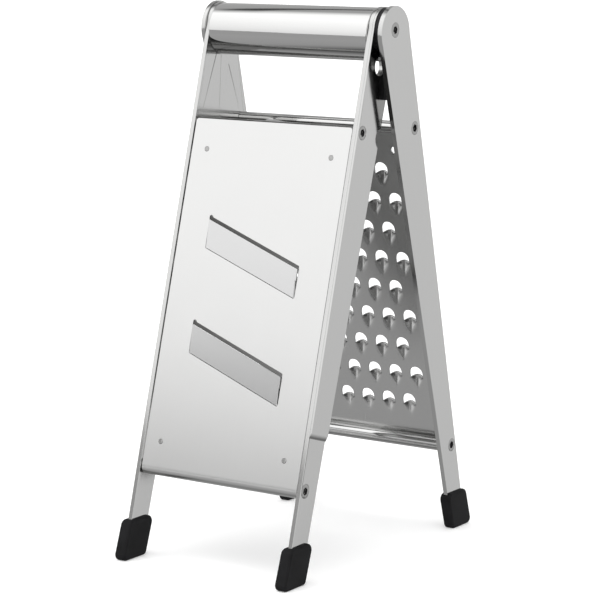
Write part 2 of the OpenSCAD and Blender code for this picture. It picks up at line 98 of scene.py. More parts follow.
REAR_LEG = Matrix.Translation((SHIFT, 0, PIVOT)) @ Matrix.Rotation(LEAN, 4, "X")
FRONT_LEG = Matrix.Diagonal((1, -1, 1, 1)) @ REAR_LEG
HANDLE = Matrix.Translation((SHIFT, 0, PIVOT - HANDLE_DROP))


def sheet_place(leg, outs):
    """Matrix from sheet coordinates' (x, y, z) to the stand, and the rods' distance."""
    upper, lower = outs
    tilt = math.atan2(upper - lower, LOWER_ROD - UPPER_ROD)
    span = math.hypot(LOWER_ROD - UPPER_ROD, upper - lower)
    return leg @ Matrix.Translation((0, upper, -UPPER_ROD)) @ Matrix.Rotation(-tilt, 4, "X"), span


SLICER, SLICER_SPAN = sheet_place(FRONT_LEG, FRONT_RODS_OUT)
REAR_MIDDLE = Matrix.Translation((-SHIFT, 0, 0)) @ REAR_LEG
GRATER, GRATER_SPAN = sheet_place(REAR_MIDDLE, REAR_RODS_OUT)


def curled(x, n, v, span):
    """Sheet coordinates to (x, y, z), with the sheet below the lower rod curled under it."""
    radius = SHEET_BACK + n
    if v <= span:
        return Vector((x, radius, -v))
    angle = min((v - span) / (SHEET_BACK + SHEET_T / 2), math.pi)
    return Vector((x, radius * math.cos(angle), -span - radius * math.sin(angle)))


CURL_LENGTH = math.pi * (SHEET_BACK + SHEET_T / 2)

# ---- materials ---------------------------------------------------------------------


class Nodes:
    """A short way to write a material's node tree."""

    def __init__(self, name):
        self.material = bpy.data.materials.new(name)
        self.material.use_nodes = True
        self.tree = self.material.node_tree
        self.shader = self.tree.nodes["Principled BSDF"]

    def add(self, kind, **settings):
        made = self.tree.nodes.new(kind)
        for key, value in settings.items():
            setattr(made, key, value)
        return made

    def join(self, source, target):
        self.tree.links.new(source, target)

    def coordinates(self, lean, scale):
        """Object coordinates turned by lean about X, then stretched by scale."""
        place = self.add("ShaderNodeTexCoord")
        turn = self.add("ShaderNodeMapping")
        turn.inputs["Rotation"].default_value = (lean, 0, 0)
        stretch = self.add("ShaderNodeMapping")
        stretch.inputs["Scale"].default_value = scale
        self.join(place.outputs["Object"], turn.inputs["Vector"])
        self.join(turn.outputs["Vector"], stretch.inputs["Vector"])
        return stretch.outputs["Vector"]

    def noise(self, vector, scale, detail=2.0, roughness=0.5):
        made = self.add("ShaderNodeTexNoise")
        made.inputs["Scale"].default_value = scale
        made.inputs["Detail"].default_value = detail
        made.inputs["Roughness"].default_value = roughness
        self.join(vector, made.inputs["Vector"])
        return made.outputs["Fac"]

    def spread(self, value, low, high, start=0.3, end=0.7):
        made = self.add("ShaderNodeMapRange")
        made.inputs["From Min"].default_value = start
        made.inputs["From Max"].default_value = end
        made.inputs["To Min"].default_value = low
        made.inputs["To Max"].default_value = high
        self.join(value, made.inputs["Value"])
        return made.outputs["Result"]

    def mix(self, factor, low, high):
        made = self.add("ShaderNodeMix", data_type="RGBA")
        made.inputs["A"].default_value = (*low, 1)
        made.inputs["B"].default_value = (*high, 1)
        self.join(factor, made.inputs["Factor"])
        return made.outputs["Result"]

    def plus(self, first, second):
        made = self.add("ShaderNodeMath", operation="ADD")
        self.join(first, made.inputs[0])
        self.join(second, made.inputs[1])
        return made.outputs["Value"]

    def bump(self, height, strength, distance):
        made = self.add("ShaderNodeBump")
        made.inputs["Strength"].default_value = strength
        made.inputs["Distance"].default_value = distance
        self.join(height, made.inputs["Height"])
        self.join(made.outputs["Normal"], self.shader.inputs["Normal"])


def steel(name, lean, stretch, tone, tone_spread, rough, rough_spread, grain, scratch=0.0):
    """Steel with a grain along the axis that stretch keeps small.

    tone and rough are the mean colour and roughness, and the spreads are how far the
    grain and the larger stains move them.
    """
    made = Nodes(name)
    shader = made.shader
    shader.inputs["Metallic"].default_value = 1.0
    lines = made.noise(made.coordinates(lean, stretch), 1.0, 3.0, 0.6)
    stains = made.noise(made.coordinates(lean, (1, 1, 1)), 38.0, 4.0, 0.55)
    low = tuple(c - tone_spread for c in tone)
    high = tuple(c + tone_spread for c in tone)
    made.join(made.mix(made.spread(lines, 0.0, 1.0), low, high), shader.inputs["Base Color"])
    rough_now = made.plus(made.spread(lines, rough - rough_spread, rough + rough_spread),
                          made.spread(stains, -rough_spread, rough_spread))
    if scratch:
        marks = made.add("ShaderNodeTexVoronoi", feature="DISTANCE_TO_EDGE")
        marks.inputs["Scale"].default_value = 1.0
        made.join(made.coordinates(lean + 0.35, (stretch[0] * 0.08, 260, 30)),
                  marks.inputs["Vector"])
        rough_now = made.plus(rough_now, made.spread(marks.outputs["Distance"], scratch, 0.0,
                                                     0.0, 0.02))
    made.join(rough_now, shader.inputs["Roughness"])
    made.bump(lines, 0.25, grain)
    return made.material


def black(name, rough, grain_size, grain, colour):
    """A dark moulded material with a fine grain and slightly paler, duller patches."""
    made = Nodes(name)
    shader = made.shader
    fine = made.noise(made.coordinates(0, (1, 1, 1)), grain_size, 3.0, 0.6)
    dust = made.noise(made.coordinates(0, (1, 1, 1)), 90.0, 4.0, 0.6)
    pale = tuple(c * 1.7 + 0.002 for c in colour)
    shader.inputs["Specular IOR Level"].default_value = 0.12
    made.join(made.mix(made.spread(dust, 0.0, 1.0, 0.35, 0.75), colour, pale),
              shader.inputs["Base Color"])
    made.join(made.plus(made.spread(fine, rough - 0.05, rough + 0.05),
                        made.spread(dust, -0.04, 0.06)), shader.inputs["Roughness"])
    made.bump(fine, 0.35, grain)
    return made.material


STEEL = (0.54, 0.54, 0.535)
FRONT_BAR = steel("front_bar_steel", LEAN, (900, 2600, 22), STEEL, 0.006, 0.14, 0.012, 5e-7)
REAR_BAR = steel("rear_bar_steel", -LEAN, (900, 2600, 22), STEEL, 0.006, 0.14, 0.012, 5e-7)
FRONT_SHEET = steel("slicer_sheet_steel", LEAN, (2200, 900, 26), (0.66, 0.66, 0.655), 0.004,
                    0.30, 0.012, 4e-7)
REAR_SHEET = steel("grater_sheet_steel", -LEAN, (2200, 900, 26), (0.60, 0.60, 0.595), 0.01,
                   0.24, 0.02, 8e-7)
BLADE_STEEL = steel("blade_steel", LEAN, (1600, 900, 60), (0.62, 0.62, 0.62), 0.004, 0.24,
                    0.012, 4e-7)
POLISHED = steel("polished_steel", 0.0, (60, 2200, 2200), (0.64, 0.64, 0.635), 0.005, 0.075,
                 0.012, 4e-7)
# the slicer's rods: rougher steel, and a darker base colour that paints the shade under the handle
DULL_SHADED_ROD = steel("dull_shaded_rod_steel", 0.0, (60, 2200, 2200), (0.28, 0.28, 0.275), 0.005, 0.16,
                 0.012, 4e-7)
SCREW_STEEL = steel("screw_steel", 0.0, (900, 2600, 2600), (0.36, 0.36, 0.355), 0.03, 0.2,
                    0.04, 1e-6)
RUBBER = black("foot_rubber", 0.62, 2600.0, 3e-5, (0.006, 0.006, 0.0065))
# black plastic for the handle plugs; the same black also paints the shade in the hinge gap and in
# the screw sockets
BLACK_PLASTIC_AND_SHADE = black("black_plastic", 0.36, 3200.0, 1e-5, (0.012, 0.012, 0.013))

# ---- mesh helpers ------------------------------------------------------------------


def from_bmesh(name, bm, matrix, material, smooth=35.0):
    """Object from a bmesh in millimetres, placed by matrix, with its edges smoothed."""
    bm.transform(scaled(matrix))
    bmesh.ops.remove_doubles(bm, verts=bm.verts, dist=1e-7)
    bmesh.ops.recalc_face_normals(bm, faces=bm.faces)
    mesh = bpy.data.meshes.new(name)
    bm.to_mesh(mesh)
    bm.free()
    made = bpy.data.objects.new(name, mesh)
    bpy.context.scene.collection.objects.link(made)
    made.data.materials.append(material)
    mesh.shade_smooth()
    mesh.set_sharp_from_angle(angle=math.radians(smooth))
    return made


def settle(made, body, slot, *replaced):
    """Rides a piece on its body and hides the CAD nodes it stands for. slot is not used."""
    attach(made, body)
    if replaced:
        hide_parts(*replaced)
    return made


def flat_faces(made):
    """Keeps large flat faces flat beside their rounded rims."""
    even = made.modifiers.new("flat_faces", "WEIGHTED_NORMAL")
    even.mode = "FACE_AREA"
    even.weight = 100
    even.keep_sharp = True


def apply_modifiers(made):
    """Replaces a piece's mesh by the one its modifiers give."""
    graph = bpy.context.evaluated_depsgraph_get()
    mesh = bpy.data.meshes.new_from_object(made.evaluated_get(graph))
    made.modifiers.clear()
    made.data = mesh


def outline_sheet(outer, holes, thickness, edge):
    """bmesh of a flat plate: closed outlines in (x, y), z from 0 to thickness, with
    every rim rounded by edge."""
    curve = bpy.data.curves.new("outline", "CURVE")
    curve.dimensions = "2D"
    curve.fill_mode = "BOTH"
    curve.extrude = thickness / 2 - edge
    curve.bevel_depth = edge
    curve.bevel_resolution = 2
    curve.offset = -edge
    for points in [outer] + holes:
        spline = curve.splines.new("POLY")
        spline.points.add(len(points) - 1)
        for target, point in zip(spline.points, points):
            target.co = (point[0], point[1], 0, 1)
        spline.use_cyclic_u = True
    helper = bpy.data.objects.new("outline", curve)
    bpy.context.scene.collection.objects.link(helper)
    graph = bpy.context.evaluated_depsgraph_get()
    mesh = bpy.data.meshes.new_from_object(helper.evaluated_get(graph))
    bpy.data.objects.remove(helper)
    bm = bmesh.new()
    bm.from_mesh(mesh)
    bpy.data.meshes.remove(mesh)
    bmesh.ops.translate(bm, verts=bm.verts, vec=(0, 0, thickness / 2))
    bmesh.ops.remove_doubles(bm, verts=bm.verts, dist=1e-4)
    return bm


def rounded(points, radius, steps=6):
    """A closed polygon with each corner rounded; radius is one number or one for each."""
    result = []
    count = len(points)
    for i, corner in enumerate(points):
        r = radius[i] if isinstance(radius, (list, tuple)) else radius
        here = Vector(corner)
        before = (Vector(points[i - 1]) - here).normalized()
        after = (Vector(points[(i + 1) % count]) - here).normalized()
        half = before.angle(after) / 2
        if r <= 0 or half > math.radians(89):
            result.append(tuple(here))
            continue
        reach = r / math.tan(half)
        centre = here + (before + after).normalized() * (r / math.sin(half))
        start = here + before * reach - centre
        finish = here + after * reach - centre
        for k in range(steps + 1):
            part = start.lerp(finish, k / steps)
            result.append(tuple(centre + part.normalized() * r))
    return result


def circle(x, y, r, count=32):
    return [(x + r * math.cos(2 * math.pi * k / count), y + r * math.sin(2 * math.pi * k / count))
            for k in range(count)]


def turned(profile, count):
    """bmesh of a closed profile of (x, r) points turned about the X axis."""
    bm = bmesh.new()
    rings = []
    for k in range(count):
        a = 2 * math.pi * k / count
        rings.append([bm.verts.new((x, r * math.cos(a), r * math.sin(a))) for x, r in profile])
    for k in range(count):
        one, two = rings[k], rings[(k + 1) % count]
        for j in range(len(profile)):
            i = (j + 1) % len(profile)
            bm.faces.new((one[j], one[i], two[i], two[j]))
    return bm


def tube_profile(half, outer, inner, edge, steps=4):
    """(x, r) profile of a tube about X with rounded outer rims."""
    points = []
    for side in (-1, 1):
        arc = [(side * (half - edge + edge * math.sin(a)), outer - edge + edge * math.cos(a))
               for a in [math.pi / 2 * k / steps for k in range(steps + 1)]]
        points += arc[::-1] if side < 0 else arc
    return points + [(half, inner), (-half, inner)]


def dress(node, material, edge):
    """Gives a CAD node its material and rounds its sharp edges."""
    made = NODES[node]
    made.data.materials.clear()
    made.data.materials.append(material)
    made.data.shade_smooth()
    weld = made.modifiers.new("weld", "WELD")
    weld.merge_threshold = 2e-6
    bevel = made.modifiers.new("edges", "BEVEL")
    bevel.width = edge * 0.001
    bevel.segments = 2
    bevel.limit_method = "ANGLE"
    bevel.angle_limit = math.radians(40)
    bevel.miter_outer = "MITER_ARC"
    flat_faces(made)


# ---- bars, screws and other nodes kept from the CAD --------------------------------
for side in ("left", "right"):
    dress("front_bar_" + side, FRONT_BAR, 0.3)
    dress("rear_bar_" + side, REAR_BAR, 0.3)
    dress("handle_plug_" + side, BLACK_PLASTIC_AND_SHADE, 0.2)
dress("doubler", FRONT_BAR, 0.2)
# the hinge spacer is black so that it paints the shade in the gap between the bars
dress("hinge_spacer", BLACK_PLASTIC_AND_SHADE, 0.2)
for node in ("front_rod_screws", "rear_rod_screws", "pivot_screws", "stop_pin"):
    dress(node, SCREW_STEEL, 0.08)
dress("panel_rivets", SCREW_STEEL, 0.12)
dress("panel_clips", FRONT_SHEET, 0.1)


def socket_shade_discs(name, leg, body, spots):
    """Black discs at the floors of the screws' hexagon sockets, as painted shade inside them;
    spots holds (face x, out, down).
    """
    depth, radius = 1.36, 2.1
    bm = bmesh.new()
    for face, out, down in spots:
        deep = face - math.copysign(depth, face)
        bmesh.ops.create_circle(bm, cap_ends=True, segments=6, radius=radius,
                                matrix=Matrix.Translation((deep, out, -down))
                                @ Matrix.Rotation(math.pi / 2, 4, "Y"))
    made = from_bmesh(name, bm, leg, BLACK_PLASTIC_AND_SHADE)
    settle(made, body, "black_plastic")


REAR_OUTER_FACES = (-REAR_INNER[-1] - BAR_T, REAR_INNER[1] + BAR_T)
# black discs deep in the screw sockets are painted shade
socket_shade_discs("slicer_socket_shade", FRONT_LEG, "slicer_frame",
                  [(x, FRONT_RODS_OUT[0], UPPER_ROD) for x in (-FRONT_OUTER, DOUBLER_OUTER)]
                  + [(x, FRONT_RODS_OUT[1], LOWER_ROD) for x in (-FRONT_OUTER, FRONT_OUTER)]
                  + [(x, 0.0, 0.0) for x in REAR_OUTER_FACES])
socket_shade_discs("grater_socket_shade", REAR_LEG, "grater_frame",
                  [(x, out, down) for x in REAR_OUTER_FACES
                   for out, down in zip(REAR_RODS_OUT, (UPPER_ROD, LOWER_ROD))])

# ---- handle and rods ---------------------------------------------------------------
handle = from_bmesh("handle", turned(tube_profile(TUBE_HALF, HANDLE_R, HANDLE_R - HANDLE_WALL,
                                                  0.5), 224), HANDLE, POLISHED)
settle(handle, "slicer_frame", "polished_steel", "handle_tube")


def rod(name, leg, out, down, half, material, body, node):
    """A cross rod along X with rounded rims and a bored end for its screws."""
    bm = turned(tube_profile(half, ROD_R, ROD_BORE_R, 0.3, 2), 72)
    place = leg @ Matrix.Translation((0, out, -down))
    settle(from_bmesh(name, bm, place, material), body, "polished_steel", node)


for level, down, front_out, rear_out in zip(("upper", "lower"), (UPPER_ROD, LOWER_ROD),
                                            FRONT_RODS_OUT, REAR_RODS_OUT):
    rod("slicer_rod_" + level, FRONT_LEG, front_out, down, FRONT_INNER, DULL_SHADED_ROD,
        "slicer_frame", f"front_{level}_rod")
    rod("grater_rod_" + level, REAR_MIDDLE, rear_out, down, REAR_HALF, POLISHED,
        "grater_frame", f"rear_{level}_rod")

# ---- slicer panel ------------------------------------------------------------------


def prism(bm, section, ends, origin):
    """Adds a bar along a slot's slope: its section is (out, rise) points, cut upright at
    the two ends."""
    along = Vector((math.cos(SLOT_SLOPE), 0, -math.sin(SLOT_SLOPE)))
    up = Vector((math.sin(SLOT_SLOPE), 0, math.cos(SLOT_SLOPE)))
    rings = []
    for x in ends:
        rings.append([bm.verts.new(origin + up * rise + along * ((x - rise * up.x) / along.x)
                                   + Vector((0, out, 0))) for out, rise in section])
    left, right = rings
    for j in range(len(section)):
        k = (j + 1) % len(section)
        bm.faces.new((left[j], left[k], right[k], right[j]))
    bm.faces.new(left)
    bm.faces.new(right[::-1])


def slot_origin(down):
    """The middle of a blade's lower edge on the sheet's front face."""
    return Vector((0, SHEET_BACK + SHEET_T, UPPER_ROD - down + BLADE_SEAM - SLOT_H / 2))


def slot_hole(v_centre):
    """A slot's outline in (x, v), clockwise, with a round relief at its top left."""
    slope = math.tan(SLOT_SLOPE)
    half, rise = SLOT_W / 2, SLOT_H / 2
    top = v_centre - rise - half * slope
    relief_r, relief_x, relief_v, relief_end = 1.15, 0.85, 0.7, 2.3
    relief = [(relief_x - half + relief_r * math.cos(a), top + relief_v + relief_r * math.sin(a))
              for a in [math.radians(195 + 23 * k) for k in range(6)]]
    points = relief + [(relief_end - half, top + relief_end * slope),
                       (half, v_centre - rise + half * slope),
                       (half, v_centre + rise + half * slope),
                       (-half, v_centre + rise - half * slope)]
    return rounded(points, [0] * 7 + [0.7] * 3, 4)


def slicer_sheet():
    """The slicer's sheet with its slots, rivet holes and curl, and a ramp behind each slot."""
    curl_steps = 24
    end = SLICER_SPAN + CURL_LENGTH
    outer = rounded([(SHEET_LEFT, -ABOVE_ROD), (SHEET_RIGHT, -ABOVE_ROD), (SHEET_RIGHT, end),
                     (SHEET_LEFT, end)], [1.6, 1.6, 0.6, 0.6])
    holes = [slot_hole(down - UPPER_ROD) for down in SLOT_DOWNS]
    for x in (-RIVET_X, RIVET_X):
        for down in RIVET_DOWNS:
            holes.append(circle(x, down - UPPER_ROD, RIVET_R))
    bm = outline_sheet(outer, holes, SHEET_T, 0.14)
    for k in range(-1, curl_steps + 1):
        cut = SLICER_SPAN + CURL_LENGTH * k / curl_steps
        bmesh.ops.bisect_plane(bm, geom=bm.verts[:] + bm.edges[:] + bm.faces[:],
                               plane_co=(0, cut, 0), plane_no=(0, 1, 0))
    for vert in bm.verts:
        x, v, n = vert.co
        vert.co = curled(x, n, v, SLICER_SPAN)
    # the ramp's section in (out, rise): it leans back under the sheet from the slot's top edge
    edge = (SLOT_H - BLADE_SEAM) * math.cos(SLOT_SLOPE)
    ramp = [(-0.21, edge + 0.32), (-0.79, edge + 0.88), (-3.39, edge - 1.82), (-2.81, edge - 2.38)]
    ramp_half = SLOT_W / 2 + 2.5
    for down in SLOT_DOWNS:
        prism(bm, ramp, (-ramp_half, ramp_half), slot_origin(down))
    made = from_bmesh("slicer_sheet", bm, SLICER, FRONT_SHEET, 60)
    flat_faces(made)
    return made


settle(slicer_sheet(), "slicer_frame", "panel_steel", "slicer_panel")

# ---- blades ------------------------------------------------------------------------


def blade(name, down, node):
    """A ground blade: its section runs from the cutting edge to the flange under the
    sheet. The lower part stops short of the slot's right end."""
    back = -SHEET_T - 0.05
    step = BLADE_REACH * 0.6
    out = BLADE_RISE * 0.6
    upper = [(out, step), (BLADE_RISE - 0.03, BLADE_REACH - 0.4), (BLADE_RISE, BLADE_REACH),
             (BLADE_RISE - 0.1, BLADE_REACH), (BLADE_RISE - BLADE_T - 0.1, BLADE_REACH - 2.4),
             (out - BLADE_T, step)]
    lower = [(0.0, 0.0), (out, step), (out - BLADE_T, step), (-BLADE_T, 1.0),
             (back - BLADE_T, 0.3), (back - BLADE_T, -FLANGE), (back, -FLANGE), (back, -0.3)]
    bm = bmesh.new()
    left = -SLOT_W / 2 + BLADE_SEAM
    prism(bm, upper, (left, SLOT_W / 2 - BLADE_SEAM), slot_origin(down))
    prism(bm, lower, (left, SLOT_W / 2 - SIDE_GAP), slot_origin(down))
    settle(from_bmesh(name, bm, SLICER, BLADE_STEEL, 5), "slicer_frame", "blade_steel", node)


blade("blade_upper", SLOT_DOWNS[0], "upper_blade")
blade("blade_lower", SLOT_DOWNS[1], "lower_blade")

# ---- grater panel ------------------------------------------------------------------


def hood_height(x, below):
    """Height of a tooth above the sheet at x from its middle and below its lip's ends."""
    if below < -LIP_ARCH - 0.1 or below > HOOD_L:
        return 0.0
    run = max(0.0, 1 - max(0.0, below) / HOOD_L)
    half = (TOOTH_R + 0.15) * run ** 0.85
    if half < 1e-6 or abs(x) >= half:
        return 0.0
    crown = 1 - (x / half) ** 2
    return TOOTH_H * run ** 1.1 * crown ** 1.7


def tooth_hole(count):
    """Outline of an opening about the middle between its lip's ends, in (x, v); the lip
    arches up into the opening. It starts at the lip's left end and runs clockwise."""
    points = []
    lip = count // 2
    sides = 3 * count // 32
    arch = count - lip - 2 * sides
    for k in range(sides):
        points.append((-TOOTH_R, -TOOTH_SIDE * k / sides))
    for k in range(arch):
        a = math.pi * k / arch
        points.append((-TOOTH_R * math.cos(a), -TOOTH_SIDE - TOOTH_R * math.sin(a)))
    for k in range(sides):
        points.append((TOOTH_R, -TOOTH_SIDE + TOOTH_SIDE * k / sides))
    for k in range(lip):
        x = TOOTH_R * (1 - 2 * k / lip)
        points.append((x, -LIP_ARCH * (1 - (x / TOOTH_R) ** 2)))
    return points


# A tooth's cell reaches from CELL_TOP above its lip to CELL_BOTTOM below it, and has the
# same number of steps on every cell's edges, so that neighbours share their points
CELL_TOP = 9.0
CELL_BOTTOM = ROW_PITCH - CELL_TOP
ACROSS, DOWN = 12, 20


def cell_rim():
    """A cell's edge in (x, v) about its lip, clockwise from the left side at the lip."""
    half, low = TOOTH_PITCH / 2, CELL_BOTTOM
    rim = [(-half, low - ROW_PITCH * k / DOWN) for k in range(DOWN)]
    rim += [(-half + TOOTH_PITCH * k / ACROSS, -CELL_TOP) for k in range(ACROSS)]
    rim += [(half, -CELL_TOP + ROW_PITCH * k / DOWN) for k in range(DOWN)]
    rim += [(half - TOOTH_PITCH * k / ACROSS, low) for k in range(ACROSS)]
    first = min(range(len(rim)), key=lambda i: (rim[i][0] > -half + 0.01, abs(rim[i][1])))
    return rim[first:] + rim[:first]


def tooth_cell(bm, middle, lip):
    """One tooth and the sheet around it, as rings of faces from its opening to its rim."""
    rings, crowding = 9, 1.15
    rim = cell_rim()
    hole = tooth_hole(len(rim))
    loops = []
    for ring in range(rings + 1):
        part = (ring / rings) ** crowding
        loop = []
        for a, b in zip(hole, rim):
            x = a[0] + (b[0] - a[0]) * part
            v = a[1] + (b[1] - a[1]) * part
            lift = hood_height(x, v) if ring < rings else 0.0
            loop.append(bm.verts.new((middle + x, lip + v, lift)))
        loops.append(loop)
    for one, two in zip(loops, loops[1:]):
        for k in range(len(rim)):
            m = (k + 1) % len(rim)
            bm.faces.new((one[k], one[m], two[m], two[k]))


def patch(bm, xs, vs, skip=()):
    """Flat sheet over the lines xs and vs, without the faces (i, j) in skip; returns its
    points row by row."""
    grid = [[bm.verts.new((x, v, 0)) for x in xs] for v in vs]
    for j in range(len(vs) - 1):
        for i in range(len(xs) - 1):
            if (i, j) not in skip:
                bm.faces.new((grid[j][i], grid[j][i + 1], grid[j + 1][i + 1], grid[j + 1][i]))
    return grid


def steps(start, end, count):
    """Numbers from start to end, both included, in count equal steps."""
    return [start + (end - start) * k / count for k in range(count + 1)]


def strip_with_holes(bm, xs, first):
    """Sheet above the teeth, from the panel's top to v = first, with two round holes, each
    in a gap of the strip between two lines near it."""
    centres = (-ROUND_HOLE_X, ROUND_HOLE_X)
    reach = ROUND_HOLE_R + 1.6
    gaps = [[i for i in range(len(xs) - 1)
             if abs(xs[i] - x) < reach and abs(xs[i + 1] - x) < reach] for x in centres]
    vs = [-ABOVE_ROD, 0.0, 4.0, ROUND_HOLE_V - 3, ROUND_HOLE_V + 3, first]
    grid = patch(bm, xs, vs, {(i, 3) for columns in gaps for i in columns})
    for columns, x in zip(gaps, centres):
        span = slice(columns[0], columns[-1] + 2)
        rim = [bm.verts.new((px, pv, 0)) for px, pv in circle(x, ROUND_HOLE_V, ROUND_HOLE_R)]
        loops = (grid[3][span] + grid[4][span][::-1], rim)
        edges = {bm.edges.get((a, b)) or bm.edges.new((a, b))
                 for loop in loops for a, b in zip(loop, loop[1:] + loop[:1])}
        bmesh.ops.triangle_fill(bm, use_beauty=True, edges=list(edges))


def row_border(bm, lip, shift):
    """Plain sheet left and right of one row of cells that is shifted sideways."""
    half = REAR_HALF - 0.2
    reach = TOOTH_COLUMNS * TOOTH_PITCH / 2 + TOOTH_PITCH / 4
    low = -TOOTH_COLUMNS * TOOTH_PITCH / 2 + shift
    high = TOOTH_COLUMNS * TOOTH_PITCH / 2 + shift
    left = steps(-half, -reach, 6)
    right = [-x for x in left[::-1]]
    if low > -reach + 0.01:
        left += steps(-reach, low, 6)[1:]
    if high < reach - 0.01:
        right = steps(high, reach, 6)[:-1] + right
    vs = steps(lip - CELL_TOP, lip - CELL_TOP + ROW_PITCH, DOWN)
    patch(bm, left, vs)
    patch(bm, right, vs)


def grater_sheet():
    """The sheet's inner face as one grid of cells, one tooth to a cell; a modifier gives
    it its thickness. Alternate rows are half a pitch apart."""
    rows = [(LOWEST_ROW - row * ROW_PITCH - UPPER_ROD,
             (-1 if row % 2 == 0 else 1) * TOOTH_PITCH / 4) for row in range(TOOTH_ROWS)]
    bm = bmesh.new()
    for lip, shift in rows:
        for column in range(TOOTH_COLUMNS):
            middle = (column - (TOOTH_COLUMNS - 1) / 2) * TOOTH_PITCH + shift
            tooth_cell(bm, middle, lip)
    for lip, shift in rows:
        row_border(bm, lip, shift)
    half = REAR_HALF - 0.2
    reach = TOOTH_COLUMNS * TOOTH_PITCH / 2 + TOOTH_PITCH / 4
    xs = (steps(-half, -reach, 6)[:-1] + steps(-reach, reach, 78) + steps(reach, half, 6)[1:])
    first = rows[-1][0] - CELL_TOP
    last = rows[0][0] + CELL_BOTTOM
    strip_with_holes(bm, xs, first)
    patch(bm, xs, steps(last, GRATER_SPAN, 3)
          + steps(GRATER_SPAN, GRATER_SPAN + CURL_LENGTH, 20)[1:])
    bmesh.ops.remove_doubles(bm, verts=bm.verts, dist=0.01)
    bmesh.ops.recalc_face_normals(bm, faces=bm.faces)
    for vert in bm.verts:
        x, v, lift = vert.co
        vert.co = curled(x, lift, v, GRATER_SPAN)
    return from_bmesh("grater_sheet", bm, GRATER, REAR_SHEET, 32)


grater = grater_sheet()
solid = grater.modifiers.new("thickness", "SOLIDIFY")
solid.thickness = SHEET_T * 0.001
solid.offset = 1.0
edge = grater.modifiers.new("edges", "BEVEL")
edge.width = 0.00012
edge.segments = 1
edge.limit_method = "ANGLE"
edge.angle_limit = math.radians(60)
settle(grater, "grater_frame", "panel_steel", "grater_panel")

# ---- feet --------------------------------------------------------------------------


def foot(name, front, side, x0, x1, bar0, bar1, body, node):
    """A moulded boot around a leg bar's end, with rounded edges and a pocket. It reaches
    from x0 to x1 and the bar in it from bar0 to bar1, both outward from the middle."""
    middle = PIVOT * math.tan(LEAN) + FOOT_SHIFT
    slant = FOOT_H * math.tan(FOOT_LEAN)
    corners = [(middle - FOOT_SOLE / 2, 0), (middle + FOOT_SOLE / 2, 0),
               (middle + FOOT_SOLE / 2 - slant, FOOT_H), (middle - FOOT_SOLE / 2 - slant, FOOT_H)]
    bm = outline_sheet(rounded(corners, [2.6, 3.0, 3.6, 3.6], 8), [], x1 - x0, 1.5)
    for vert in bm.verts:
        y, z, x = vert.co
        vert.co = ((x0 + x) * side, -y if front else y, z)
    made = from_bmesh(name, bm, Matrix.Translation((SHIFT, 0, 0)), RUBBER, 40)
    pocket_l = 60
    pocket = bmesh.new()
    bmesh.ops.create_cube(pocket, size=1.0)
    bmesh.ops.scale(pocket, vec=(bar1 - bar0 + 0.1, 2 * FOOT_HALF + 1.3, pocket_l),
                    verts=pocket.verts)
    bmesh.ops.translate(pocket, verts=pocket.verts,
                        vec=((bar0 + bar1) / 2 * side, 0, -BAR_LENGTH - 0.05 + pocket_l / 2))
    cutter = from_bmesh("pocket", pocket, FRONT_LEG if front else REAR_LEG, RUBBER)
    cut = made.modifiers.new("pocket", "BOOLEAN")
    cut.object = cutter
    cut.solver = "EXACT"
    apply_modifiers(made)
    bpy.data.objects.remove(cutter)
    flat_faces(made)
    settle(made, body, "foot_rubber", node)


for side, word in ((-1, "left"), (1, "right")):
    inner = REAR_INNER[side]
    foot("front_boot_" + word, True, side, FRONT_INNER - FRONT_FOOT_WALLS[0],
         FRONT_OUTER + FRONT_FOOT_WALLS[1], FRONT_INNER, FRONT_OUTER, "slicer_frame",
         "front_foot_" + word)
    foot("rear_boot_" + word, False, side, inner - REAR_FOOT_WALL,
         inner + BAR_T + REAR_FOOT_WALL, inner, inner + BAR_T, "grater_frame",
         "rear_foot_" + word)

# ---- stage, light and camera -------------------------------------------------------


def stage_floor():
    """A pale floor that sweeps up into a back wall, in metres; reflections leave it out."""
    front, back, sweep, height, half = -7.0, 2.2, 0.8, 3.2, 7.0
    bm = bmesh.new()
    profile = [(front, 0.0), (back, 0.0)]
    profile += [(back + sweep * math.sin(a), sweep - sweep * math.cos(a))
                for a in [math.pi / 2 * k / 12 for k in range(1, 13)]]
    profile += [(back + sweep, height)]
    rows = [[bm.verts.new((x, y, z)) for y, z in profile] for x in (-half, half)]
    for k in range(len(profile) - 1):
        bm.faces.new((rows[0][k], rows[1][k], rows[1][k + 1], rows[0][k + 1]))
    bmesh.ops.recalc_face_normals(bm, faces=bm.faces)
    mesh = bpy.data.meshes.new("stage_floor")
    bm.to_mesh(mesh)
    bm.free()
    mesh.shade_smooth()
    made = bpy.data.objects.new("stage_floor", mesh)
    bpy.context.scene.collection.objects.link(made)
    white = Nodes("stage_white")
    white.shader.inputs["Base Color"].default_value = (0.9, 0.9, 0.9, 1)
    white.shader.inputs["Roughness"].default_value = 0.9
    white.shader.inputs["Specular IOR Level"].default_value = 0.1
    white.shader.inputs["Emission Color"].default_value = (1, 1, 1, 1)
    white.shader.inputs["Emission Strength"].default_value = 0.2
    made.data.materials.append(white.material)
    made.visible_glossy = False


def softbox(name, place, aim, size, power):
    """A square lamp turned to its aim, which reflections leave out."""
    light = bpy.data.lights.new(name, "AREA")
    light.shape = "RECTANGLE"
    light.size, light.size_y = size
    light.energy = power
    made = bpy.data.objects.new(name, light)
    made.location = place
    made.rotation_euler = (Vector(aim) - Vector(place)).to_track_quat("-Z", "Y").to_euler()
    made.visible_glossy = False
    bpy.context.scene.collection.objects.link(made)


